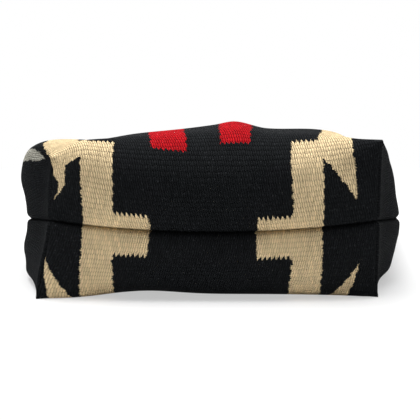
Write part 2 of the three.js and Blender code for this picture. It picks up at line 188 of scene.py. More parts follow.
def through(x, stations):
    """A smooth curve through (position, value) stations, level past both ends."""
    xs, ys = np.array(stations, float).T
    slope = np.gradient(ys, xs)
    slope[1:-1] = (ys[2:] - ys[:-2]) / (xs[2:] - xs[:-2])
    i = np.clip(np.searchsorted(xs, x) - 1, 0, len(xs) - 2)
    span = xs[i + 1] - xs[i]
    t = np.clip((x - xs[i]) / span, 0, 1)
    leave = t * (1 - t) ** 2 * span * slope[i]
    arrive = t * t * (t - 1) * span * slope[i + 1]
    return mix(ys[i], ys[i + 1], smooth(t)) + leave + arrive


# Outline of the lying bag at shares of its height: half widths in shares of half the base's
# length, and the heights of the side seam and of the crest in shares of the base's depth.
RIGHT_WIDTH = [(0, 1.13), (0.2, 1.168), (0.333, 1.192), (0.667, 1.255), (1, 1.353)]
LEFT_WIDTH = [(0, 1.165), (0.2, 1.206), (0.333, 1.222), (0.667, 1.28), (1, 1.365)]
SIDE_SEAM = [(0, 0.491), (0.167, 0.435), (0.333, 0.385), (0.667, 0.31), (1, 0.25)]
TOP_LINE = [(0, 1.004), (0.2, 1.023), (0.367, 0.998), (0.667, 0.81), (1, 0.525)]

# Rise of the crest near the base, in shares of the base's depth at shares of half its length.
CREST = [
    (-1.29, -0.035), (-1.07, -0.056), (-0.88, -0.080), (-0.75, -0.089), (-0.5, -0.05),
    (-0.2, -0.018), (0, 0.009), (0.14, 0.032), (0.34, -0.013), (0.66, -0.008),
    (0.78, -0.016), (0.9, -0.058), (1.05, -0.042), (1.29, -0.06),
]
CREST_FADE = (0.5, 0.3)        # where that rise starts to fade, and over what, of the height

# Squareness of each panel's sections: at the left and the right of the base, and at the mouth.
UPPER_SQUARE = (8.0, 4.6, 2.8)
LOWER_SQUARE = (14.0, 9.0, 4.0)
BOX_REACH = 0.45               # how far the base's box shape goes in, of half its length

# Swell of each panel beside the base seam: millimetres, and a power under 1 that puts the
# most of it nearer to the seam.
UPPER_SWELL = (7, 0.8)
LOWER_SWELL = (15, 0.9)
SWELL_REACH = 0.5              # how far in the swell goes, of half the base's depth

BASE_SAG = 0.075               # sag of the base seam's middle, of the base's depth
SAG_REACH = 0.2                # how far in the sag goes, of the bag's height
STRAP_LIFT = 4.8               # lift of the lower panel by the strap under it, in millimetres
STRAP_LIFT_FROM = (0.62, 0.24)  # where that lift starts, and over what, of the bag's height

# Moves of the side faces across the bag at heights, in millimetres.
LEFT_MOVES = [
    (0, -3.5), (18, 0.6), (36, -1.2), (54, 2.2), (72, 2.7), (90, 1.2), (108, -2.4), (126, -1.4),
    (144, -0.8), (162, -1.4),
]
RIGHT_MOVES = [
    (0, 3.0), (18, -2.6), (36, -0.5), (54, 2.7), (72, 1.8), (90, -1.7), (108, -2.8), (126, -1.4),
    (144, 4.6), (162, 4.9),
]
MOVES_WIDTH = (0.72, 0.36)     # where they start, and over what, of half the base's length
MOVES_START = 40               # they grow over this depth from the base, in millimetres
MOVES_END = (160, 120)         # and fade from the first depth over the second

# Places where the cloth has lost its shape, in millimetres: centre, reach and move.
DENTS = [
    ((-170.3, 0, 160), (26, 40, 34), (2, 20, -21)),
    ((-175.4, 0, 0), (30, 60, 40), (-10, -6, 0)),
    ((-160, 0, 118), (24, 45, 32), (-1, 11, 0)),
    ((-172, 0, 30), (24, 40, 34), (-5, 0, 0)),
    ((-178, 15, 0), (30, 50, 16), (-2, 0, 0)),
    ((-68, 0, 0), (42, 30, 14), (0, 3.5, 3)),
    ((-136, 0, 0), (24, 30, 12), (0, -2, -1)),
    ((168, 0, 162), (10, 14, 9), (0.5, 2, -0.8)),
]

# Seams and edges, in millimetres except the first.
SEAM_SETTLE = 5                # a seam pulls the cloth over this many lengths of its roll
END_SEAM_FADE = 24             # an end seam's roll grows over this length from its corner
END_SEAM_LEAN = 22             # the cloth leans in at an end seam over this width
MOUTH_FOLD = 3.4               # radius of the fold at the mouth
TOLERANCE = 0.01               # places on the cloth that are this near are the same

# The lining, in millimetres.
LINING_ROUND = 9.0             # radius at which it turns in to a seam
LINING_SHORT = 9               # it ends this far below the mouth
LINING_FACET = 4.0             # spacing of its mesh
LINING_UNDER = 2.8             # it hangs this far inside the wool
LINING_MOUTH = (4.4, 58, 20)   # and further under the hem: how far, from where and over what
LINING_SEAM = 14               # both panels' linings point the same way this near to a seam
LINING_WAVES = (0.9, 50, 40)   # height of its waves, where they end and what they fade over


class Form:
    """The outer face of the lying bag, from places on its cut cloth."""

    def __init__(self, sizes):
        self.length = sizes.base_length / MM / 2
        self.depth = sizes.base_depth / MM / 2
        self.height = sizes.height / MM
        self.cloth = sizes.cloth / MM
        self.front_round = sizes.front_round / MM
        self.back_round = sizes.back_round / MM
        self.upper_round = sizes.upper_seam_round / MM
        self.lower_round = sizes.lower_seam_round / MM
        self.end_round = sizes.end_seam_round / MM
        self.allowance = sizes.allowance / MM
        self.hem = sizes.hem / MM
        self.facet = sizes.facet / MM
        self.side = self.length + self.depth
        self.top = self.depth + self.height

    def seam_height(self, x, y):
        """Height of the seam between the two panels; the base seam sags in its middle."""
        sag = BASE_SAG * (1 - np.clip(abs(x) / self.length, 0, 1) ** 2)
        level = through(y / self.height, SIDE_SEAM)
        return 2 * self.depth * (level - sag * np.exp(-y / (SAG_REACH * self.height)))

    def top_height(self, x, y):
        """Height of the upper panel's crest."""
        start, span = CREST_FADE
        shown = smooth(y / self.depth) * (1 - smooth((y / self.height - start) / span))
        rise = through(x / self.length, CREST) * shown
        return 2 * self.depth * (through(y / self.height, TOP_LINE) + rise)

    def floor_height(self, y):
        """Height of the lower panel, whose mouth end is lifted by the strap under it."""
        start, span = STRAP_LIFT_FROM
        return STRAP_LIFT * smooth((y / self.height - start) / span)

    def rounded(self, width, height, power, share, steps=64):
        """Points on rounded-off sections, a share of the way from crest to side seam."""
        angle = np.linspace(0, math.pi / 2, steps + 1)
        x = width[:, None] * np.sin(angle) ** (2 / power[:, None])
        z = height[:, None] * np.clip(np.cos(angle), 0, 1) ** (2 / power[:, None])
        z[:, -1] = 0
        step = np.hypot(np.diff(x, axis=1), np.diff(z, axis=1))
        run = np.concatenate([np.zeros((len(x), 1)), np.cumsum(step, axis=1)], axis=1)
        wanted = share * run[:, -1]
        i = np.clip((run < wanted[:, None]).sum(axis=1), 1, steps)
        row = np.arange(len(x))
        t = np.clip((wanted - run[row, i - 1]) / (run[row, i] - run[row, i - 1]), 0, 1)
        return mix(x[row, i - 1], x[row, i], t), mix(z[row, i - 1], z[row, i], t)

    def climb(self, across, v, front):
        """How far in from the base the cloth lies, and its share of the way up from the seam."""
        share = np.clip(across / self.length, 0, 1)
        full = self.front_round if front else self.back_round
        radius = np.maximum(full * (1 - share ** 3), 1e-5)
        start = self.depth - radius * math.pi / 4
        end = self.depth + radius * math.pi / 4
        turn = np.clip((v - start) / radius, 0, math.pi / 2)
        on_base = v < start
        level = np.where(on_base, v * (self.depth - radius) / start / self.depth,
                         1 - radius * (1 - np.sin(turn)) / self.depth)
        y = np.where(on_base, 0, radius * (1 - np.cos(turn)))
        beyond = radius + (v - end) * (self.height - radius) / (self.top - end)
        y = np.where(v > end, beyond, y)
        on_side = across > self.length
        return np.where(on_side, v - self.depth, y), np.where(on_side, 1, level)

    def bare(self, u, v, front):
        """The face with sharp seams. u runs across the cloth, v up it from the base seam."""
        across = abs(u)
        side = np.where(u < 0, -1.0, 1.0)
        y, level = self.climb(across, v, front)
        along = y / self.height
        width = self.length * np.where(side > 0, through(along, RIGHT_WIDTH),
                                       through(along, LEFT_WIDTH))
        left, right, mouth = UPPER_SQUARE if front else LOWER_SQUARE
        power = mix(np.where(side > 0, right, left), mouth, smooth(along))
        seam_level = 2 * self.depth * through(along, SIDE_SEAM)
        rise = self.top_height(0 * y, y) - seam_level if front else seam_level
        round_x, round_z = self.rounded(width, rise, power, across / self.side)
        boxy = 1 - smooth(y / (BOX_REACH * self.length))
        x = side * mix(round_x, np.minimum(across, self.length), boxy)
        box_z = 1 - np.clip((across - self.length) / self.depth, 0, 1)
        reach = np.clip(level * mix(round_z / rise, box_z, boxy), 0, 1)
        far = self.top_height(x, y) if front else self.floor_height(y)
        z = mix(self.seam_height(x, y), far, reach)
        most, power = UPPER_SWELL if front else LOWER_SWELL
        swell = most * np.sin(math.pi * reach ** power)
        fade = 1 - np.clip(abs(x) / self.length, 0, 1) ** 4
        fade = fade * np.exp(-((y / self.depth / SWELL_REACH) ** 2))
        return np.stack([x, y - swell * fade, z], -1)

    def misshapen(self, p, side):
        """The face with its dents, and with its side faces moved in and out."""
        moved = p.copy()
        for centre, reach, move in DENTS:
            pull = np.exp(-(((p - np.array(centre)) / np.array(reach)) ** 2).sum(-1))
            moved = moved + pull[:, None] * np.array(move)
        x, y, height = p.T
        shift = np.where(side < 0, through(height, LEFT_MOVES), through(height, RIGHT_MOVES))
        start, span = MOVES_WIDTH
        outward = smooth((abs(x) - start * self.length) / (span * self.length))
        far, span = MOVES_END
        inward = smooth(y / MOVES_START) * (1 - smooth((y - far) / span))
        moved[:, 0] += shift * outward * inward
        return moved

    def roll(self, distance, radius, turn):
        """Where the cloth goes beside a seam: its place along the face and its depth."""
        tangent = radius / math.tan((math.pi - turn) / 2)
        arc = turn * radius
        settle = SEAM_SETTLE * arc
        bend = np.clip((arc - distance) / radius, 0, turn)
        place = tangent - radius * np.sin(bend)
        depth = radius * (1 - np.cos(bend))
        stretch = tangent + (distance - arc) * (settle - tangent) / (settle - arc)
        place = np.where(distance > arc, stretch, place)
        place = np.where(distance > settle, distance, place)
        beyond = np.maximum(-distance, 0)
        return place - math.cos(turn) * beyond, depth + math.sin(turn) * beyond

    def surface(self, u, v, front, side_patch):
        """The outer face with its seams rolled in and its corners out of shape.

        side_patch says that places on the line of an end seam belong to the side face.
        """
        across = abs(u)
        side = np.where(u < 0, -1.0, 1.0)
        past_end = (v > self.depth + TOLERANCE) | side_patch
        on_side = across > self.length + self.allowance + TOLERANCE
        on_side = on_side | ((across > self.length) & past_end)
        on_base = ~on_side & (v < self.depth) & (not side_patch)
        near_end = on_side | on_base

        # The base seam and the side seams turn in by a right angle.
        edge = np.where(on_side, self.side - across, v)
        seam_round = self.upper_round if front else self.lower_round
        place, depth = self.roll(edge, seam_round, math.pi / 2)
        new_u = np.where(on_side, self.side - place, across)
        new_v = np.where(on_side, v, place)

        # The seams across the base's ends turn in by half as much again.
        end = np.where(on_side, v - self.depth, self.length - across)
        along = np.where(on_side, across - self.length, self.depth - v)
        fade = smooth(along / END_SEAM_FADE)
        end = np.where(end < 0, end * fade, end)
        end_place, end_depth = self.roll(end, self.end_round, 3 * math.pi / 4)
        end_place = mix(np.maximum(end, 0), end_place, fade)
        end_depth = np.where(near_end, end_depth * fade, 0)
        new_u = np.where(on_base, self.length - end_place, new_u)
        new_v = np.where(on_side, self.depth + end_place, new_v)
        leaning = np.where(near_end, 1 - smooth(np.maximum(end, 0) / END_SEAM_LEAN), 0)

        moved = self.misshapen(self.bare(side * new_u, new_v, front), side)
        lean_x = mix(np.where(on_side, -side, 0), -side * math.sqrt(0.5), leaning)
        lean_y = mix(np.where(on_side, 0, 1.0), math.sqrt(0.5), leaning)
        lean = np.hypot(lean_x, lean_y)
        moved[:, 0] += depth * lean_x / lean + np.where(on_side, -side * end_depth, 0)
        moved[:, 1] += depth * lean_y / lean + np.where(on_base, end_depth, 0)
        return moved

    def normal(self, u, v, front, side_patch):
        """Outward direction of the face."""
        step = 0.4  # millimetres to each side
        along_u = (self.surface(u + step, v, front, side_patch)
                   - self.surface(u - step, v, front, side_patch))
        along_v = (self.surface(u, v + step, front, side_patch)
                   - self.surface(u, v - step, front, side_patch))
        return unit(np.cross(along_u, along_v) * (1 if front else -1))

    def cloth_point(self, u, v, front, side_patch):
        """The face, carried over the rim of the mouth and down inside as the hem."""
        over = np.maximum(v - self.top, 0)
        bend = np.clip(over / MOUTH_FOLD, 0, math.pi)
        down = np.maximum(over - math.pi * MOUTH_FOLD, 0)
        base_v = np.minimum(v, self.top) - down
        p = self.surface(u, base_v, front, side_patch)
        turned = over > 0
        if turned.any():
            below_rim = base_v[turned] - 0.5
            out = self.normal(u[turned], below_rim, front, side_patch)
            p[turned, 1] += MOUTH_FOLD * np.sin(bend[turned])
            p[turned] -= out * (MOUTH_FOLD * (1 - np.cos(bend[turned])))[:, None]
        return p

    def lining_point(self, u, v, front, side_patch):
        """The lining, which hangs slack inside the face."""
        p = self.surface(u, v, front, side_patch)
        out = self.normal(np.clip(u, -self.side + 1, self.side - 1), np.maximum(v, 1), front,
                          side_patch)
        past_end = abs(u) > self.length
        edge = np.where(past_end, self.side - abs(u), v)
        at_seam = np.stack([np.where(u < 0, -1.0, 1.0) * past_end, -1.0 * ~past_end, 0 * u], -1)
        out = unit(mix(at_seam, out, smooth(edge / LINING_SEAM)[:, None]))
        further, start, span = LINING_MOUTH
        under = self.cloth + LINING_UNDER + further * smooth((v - self.top + start) / span)
        most, end, span = LINING_WAVES
        # Two crossing waves, 107 to 358 mm long.
        waves = most * np.sin(u / 17 + 1.3 * np.sin(v / 31)) * np.sin(v / 23 + u / 57)
        return p - out * (under + waves * smooth((self.top - end - v) / span))[:, None]


def spaced(low, high, step):
    """Evenly spaced values that include both ends."""
    return np.linspace(low, high, max(int(round((high - low) / step)), 1) + 1)


def patch(us, vs, front, at, side_patch=False):
    """A grid of quads over a rectangle of the cut cloth: places, cloth places and faces."""
    u, v = (a.ravel() for a in np.meshgrid(us, vs, indexing="ij"))
    i, j = np.meshgrid(np.arange(len(us) - 1), np.arange(len(vs) - 1), indexing="ij")
    a = (i * len(vs) + j).ravel()
    b = a + len(vs)
    faces = np.stack([a, b, b + 1, a + 1], -1)
    if not front:
        faces = faces[:, ::-1]
    return at(u, v, front, side_patch), np.stack([u, v], -1), faces


def panel_patches(form, front, at, turned, high, step):
    """The patches of one panel up to a place on the cloth, with its seams' cloth turned in."""
    past = np.array([turned / 2, turned] if turned else [])
    up_side = spaced(form.depth, high, step)
    vs = np.concatenate([-past[::-1], spaced(0, form.depth, step)[:-1], up_side])
    side_us = np.concatenate([spaced(form.length, form.side, step), form.side + past])
    side_vs = np.concatenate([form.depth - past[::-1], up_side])
    made = [patch(spaced(-form.length, form.length, step), vs, front, at)]
    for us in (side_us, -side_us[::-1]):
        made.append(patch(us, side_vs, front, at, side_patch=True))
    if turned:
        end_us = np.array([form.length, form.length + turned / 2, form.length + turned])
        end_vs = vs[vs <= form.depth + TOLERANCE]
        for us in (end_us, -end_us[::-1]):
            made.append(patch(us, end_vs, front, at))
    return made


def linked(name, data):
    """A new object in the scene."""
    obj = bpy.data.objects.new(name, data)
    bpy.context.collection.objects.link(obj)
    return obj


def cloth_object(name, patches, shift, material):
    """A smooth mesh from patches, with the place on the cut cloth as its map."""
    points, cloth, faces = [], [], []
    count = 0
    for part_points, part_cloth, part_faces in patches:
        points.append(part_points)
        cloth.append(part_cloth)
        faces.append(part_faces + count)
        count += len(part_points)
    points = np.concatenate(points) * MM + shift
    cloth = np.concatenate(cloth) * MM
    faces = np.concatenate(faces)
    mesh = bpy.data.meshes.new(name)
    mesh.from_pydata(points.tolist(), [], faces.tolist())
    layer = mesh.uv_layers.new(name="cloth")
    layer.data.foreach_set("uv", cloth[faces.ravel()].ravel())
    mesh.polygons.foreach_set("use_smooth", [True] * len(faces))
    build = bmesh.new()
    build.from_mesh(mesh)
    bmesh.ops.remove_doubles(build, verts=build.verts, dist=SAME_PLACE)
    build.to_mesh(mesh)
    build.free()
    mesh.materials.append(material)
    return linked(name, mesh)


class Nodes:
    """Short ways to add and join the nodes of one tree."""

    def __init__(self, tree):
        self.tree = tree

    def add(self, kind, **values):
        """A new node with its settings."""
        node = self.tree.nodes.new(kind)
        for name, value in values.items():
            setattr(node, name, value)
        return node

    def join(self, source, socket):
        """Feeds a socket from another one, or sets it to a number or a colour."""
        if isinstance(source, (int, float, tuple)):
            socket.default_value = source
        else:
            self.tree.links.new(source, socket)

    def math(self, operation, a, b=0.0, c=0.0, clamp=False):
        """The result of one sum."""
        node = self.add("ShaderNodeMath", operation=operation, use_clamp=clamp)
        for source, socket in zip((a, b, c), node.inputs):
            self.join(source, socket)
        return node.outputs[0]

    def inside(self, value, low, high):
        """1 between two limits and 0 elsewhere."""
        above = self.math("GREATER_THAN", value, low)
        below = self.math("LESS_THAN", value, high)
        return self.math("MULTIPLY", above, below)

    def spread(self, value, low, high, to_low, to_high):
        """A value moved from one range to another, and level past its ends."""
        node = self.add("ShaderNodeMapRange")
        self.join(value, node.inputs[0])
        for socket, number in zip(node.inputs[1:5], (low, high, to_low, to_high)):
            self.join(number, socket)
        return node.outputs[0]

    def ramps(self, value, table):
        """The sum of several spreads of one value."""
        total = self.spread(value, *table[0])
        for ramp in table[1:]:
            total = self.math("ADD", total, self.spread(value, *ramp))
        return total

    def blend(self, factor, a, b, kind="MIX"):
        """Two colours blended."""
        node = self.add("ShaderNodeMix", data_type="RGBA", blend_type=kind)
        self.join(factor, node.inputs[0])
        self.join(a, node.inputs[6])
        self.join(b, node.inputs[7])
        return node.outputs[2]

    def toned(self, color, tone):
        """A colour made darker or paler by a tone."""
        shade = self.add("ShaderNodeCombineColor")
        for socket in shade.inputs:
            self.join(tone, socket)
        return self.blend(1.0, color, shade.outputs[0], "MULTIPLY")

    def noise(self, place, scale, detail=2.0):
        """Cloudy noise from 0 to 1."""
        node = self.add("ShaderNodeTexNoise", noise_dimensions="3D")
        for source, label in ((place, "Vector"), (scale, "Scale"), (detail, "Detail")):
            self.join(source, node.inputs[label])
        return node.outputs["Fac"]

    def split(self, place):
        """The parts of a place: across, up and deep."""
        node = self.add("ShaderNodeSeparateXYZ")
        self.join(place, node.inputs[0])
        return node.outputs

    def group(self, tree, values):
        """The outputs of a shader group that is given its own values."""
        node = self.add("ShaderNodeGroup", node_tree=tree)
        for label, value in values.items():
            self.join(value, node.inputs[label])
        return node.outputs

    def bump(self, shader, height, strength, distance):
        """Feeds a shader's normal from a height."""
        node = self.add("ShaderNodeBump")
        for source, label in ((height, "Height"), (strength, "Strength"), (distance, "Distance")):
            self.join(source, node.inputs[label])
        self.join(node.outputs[0], shader.inputs["Normal"])

    def backdrop(self):
        """1 for the rays that show the background: seen directly, in gloss or through glass."""
        path = self.add("ShaderNodeLightPath").outputs
        seen = self.math("MAXIMUM", path["Is Camera Ray"], path["Is Glossy Ray"])
        return self.math("MAXIMUM", seen, path["Is Transmission Ray"])


def new_group(name, inputs, outputs):
    """An empty shader group with named sockets; an input without a default is a vector."""
    group = bpy.data.node_groups.new(name, "ShaderNodeTree")
    for label, default in inputs:
        kind = "NodeSocketVector" if default is None else "NodeSocketFloat"
        socket = group.interface.new_socket(label, in_out="INPUT", socket_type=kind)
        if default is not None:
            socket.default_value = default
    for label in outputs:
        group.interface.new_socket(label, in_out="OUTPUT", socket_type="NodeSocketFloat")
    nodes = Nodes(group)
    return group, nodes, nodes.add("NodeGroupInput").outputs, nodes.add("NodeGroupOutput").inputs


# The weave's bumps, in spacings of the wefts across and in rows up the cloth.
WAVER_SCALE = 60               # the yarns waver in waves of about 1/60 m
WAVER = 0.9                    # by this much from end to end
ROW_WAVER = 0.6                # and the rows by this share of it
BUMP_ACROSS, ACROSS_POWER = 0.52, 2.0  # half a bump, and how steeply it falls towards its edge
BUMP_UP, UP_POWER = 0.64, 2.4
BUMP_FULLNESS = 0.6            # a lower power makes a bump's top flatter
CREVICE_LIMIT = 0.78           # the crevice ends at this share of a bump's height


def weave_group():
    """Bumps of the weft over the warps, in brick order."""
    if "Weave" in bpy.data.node_groups:
        return bpy.data.node_groups["Weave"]
    group, n, given, made = new_group(
        "Weave", [("Cloth", None), ("Row", 0.0049), ("Weft", 0.00235), ("Slant", 0.25)],
        ["Height", "Crevice", "Yarn"])
    u, v, _ = n.split(given["Cloth"])
    drift = n.math("MULTIPLY_ADD", n.noise(given["Cloth"], WAVER_SCALE), WAVER, -WAVER / 2)
    up = n.math("DIVIDE", v, given["Row"])
    up = n.math("ADD", up, n.math("MULTIPLY", drift, ROW_WAVER))
    across = n.math("ADD", n.math("DIVIDE", u, given["Weft"]), drift)
    bumps, chances = [], []
    for offset in (0.5, 1.5):  # the odd rows, then the even rows between them
        rows = n.math("DIVIDE", n.math("SUBTRACT", up, offset), 2)
        row = n.math("ROUND", rows)
        above = n.math("MULTIPLY", n.math("SUBTRACT", rows, row), 2)
        place = n.math("ADD", across, n.math("MULTIPLY", above, given["Slant"]))
        place = n.math("ADD", place, (offset - 0.5) / 2)
        bump = n.math("ROUND", place)
        beside = n.math("DIVIDE", n.math("SUBTRACT", place, bump), BUMP_ACROSS)
        along = n.math("DIVIDE", above, BUMP_UP)
        fall = n.math("ADD", n.math("POWER", n.math("ABSOLUTE", beside), ACROSS_POWER),
                      n.math("POWER", n.math("ABSOLUTE", along), UP_POWER))
        bumps.append(n.math("SUBTRACT", 1.0, fall, clamp=True))
        key = n.add("ShaderNodeCombineXYZ")
        n.join(bump, key.inputs[0])
        n.join(n.math("ADD", row, offset), key.inputs[1])
        chance = n.add("ShaderNodeTexWhiteNoise", noise_dimensions="2D")
        n.join(key.outputs[0], chance.inputs["Vector"])
        chances.append(chance.outputs["Value"])
    height = n.math("POWER", n.math("MAXIMUM", *bumps), BUMP_FULLNESS)
    n.join(height, made["Height"])
    # Crevice is 1 deep between the bumps; the materials use it as the mask of painted shade.
    n.join(n.spread(height, 0.0, CREVICE_LIMIT, 1.0, 0.0), made["Crevice"])
    second = n.math("GREATER_THAN", bumps[1], bumps[0])
    kept = n.math("MULTIPLY", chances[0], n.math("SUBTRACT", 1.0, second))
    n.join(n.math("MULTIPLY_ADD", chances[1], second, kept), made["Yarn"])
    return group


CLOUD_RANGE = (0.3, 0.7)       # the noise goes little past these


def unevenness_group():
    """Slow change of tone over a surface."""
    if "Unevenness" in bpy.data.node_groups:
        return bpy.data.node_groups["Unevenness"]
    group, n, given, made = new_group(
        "Unevenness",
        [("Place", None), ("Scale", 22.0), ("Detail", 2.0), ("Darkest", 0.85), ("Palest", 1.1)],
        ["Cloud", "Tone"])
    cloud = n.noise(given["Place"], given["Scale"], given["Detail"])
    n.join(cloud, made["Cloud"])
    n.join(n.spread(cloud, *CLOUD_RANGE, given["Darkest"], given["Palest"]), made["Tone"])
    return group


# The woven figure, in metres. Places across a panel are counted from the figure's middle line,
# and places up it from the base seam.
STROKE = (0.0885, 0.1205)      # the upright stroke
ARM_FROM = 0.053               # the arm at the base seam runs from here to the stroke's far edge
BLOCK_FROM = 0.115             # the block above the claw starts here, inside the stroke
CLAW_FROM = 0.02               # lowest place that a claw's point can reach
CLAW_SMOOTHING = 0.6           # share of the scallops that a claw's edges lose
PLAIN_FLARE = 0.022            # a plain claw's flare changes this much across the panel
OVERLAP = 0.001                # the block goes this far into the claw
BARS = (0.0175, 0.048)         # the red bars
BAR_TEETH = 0.6                # share of the teeth at the bars' lower ends
BAR_RAISE = 0.0043             # those ends lie this much higher than Bar says
LEFT_BAR_WIDER = 0.0025
LEFT_BAR_SLANT = (0.14, 0.0133)  # slope of the left bar's lower end, and how far it drops
STRIPES = (0.161, 0.175)       # the grey stripes
STRIPE_SLANT = 1.5             # slope of their lower ends
STRIPE_TAPER = (0.036, 0.1675)  # length of the taper there, and where its inner edge starts
FIGURE_TOP = 0.3               # where the bars and the stripes end

# The hooked claw's inner edge by the share of the way down the claw, and its outer edge by the
# place up the cloth. Each is a sum of ramps: from, to, and the places across at both.
HOOK_INNER = [(0.0, 0.16, 0.1205, 0.1370), (0.62, 0.92, 0.0, 0.0128)]
HOOK_OUTER = [(0.045, 0.066, 0.144, 0.159), (0.104, 0.150, 0.0, -0.016),
              (0.026, 0.036, 0.005, 0.0)]

# Unevenness of the figure's edges, in metres: across the panel and up it.
LOOSE_SCALE = 130              # loose yarns
LOOSE_ACROSS, LOOSE_UP = 0.0025, 0.003
LOOSE_CLAW = 0.005             # along a claw
LOOSE_TEETH = 0.0016           # place of the teeth
HAIR_SCALE = 800               # hairs that stick out over an edge: noise drawn out across it
HAIR_ACROSS, HAIR_UP = 0.0060, 0.004
HAIR_STRETCH = ((0.25, 1.6, 1.0), (1.6, 0.25, 1.0))
DRIFT_SCALE = 11               # slow drift of the edges
DRIFT = 0.012
DRIFT_UP = 0.5                 # share of it up the cloth
SCALLOP_PITCH = 0.0098         # a scallop is two rows high

# Teeth, in shares of their pitch and height.
TOOTH_RISE = 0.62              # share of the pitch on a tooth's rising side
TOOTH_SLANT = 0.12             # how far a row of teeth shifts on its way up the cloth
TOOTH_POWER = 1.25             # a higher power makes the points sharper
TOOTH_MIDDLE = 0.45            # share of a tooth's height that lies past the edge's own line

# The figure's sizes for each panel, in metres, which are inputs of the Figure group.
FRONT_FIGURE = {
    "Middle": -0.011,          # place of the middle line
    "Arm": 0.0208,             # top of the arm
    "Arm Lean": -0.022,        # slope of that top
    "Step": 0.093,             # top of the stroke
    "Fork": 0.073,             # where the block ends and the claw starts
    "Claw": 0.0255,            # height of the claw's point
    "Lean": 0.028,             # change of that height across the panel
    "Hook": 1.0,               # 1 where the left claw is hooked
    "Edge": 0.1475,            # outer edge of a plain claw and its block
    "Flare": 0.0042,           # how far a plain claw flares out on its way down
    "Bar": 0.088,              # lower ends of the bars
    "Wedge": 0.098,            # lower ends of the stripes
}
BACK_FIGURE = {
    "Middle": -0.0122, "Arm": 0.029, "Arm Lean": 0.0, "Step": 0.108, "Fork": 0.094,
    "Claw": 0.0385, "Lean": 0.018, "Hook": 0.0, "Edge": 0.1425, "Flare": 0.0125, "Bar": 0.1,
    "Wedge": 0.118,
}


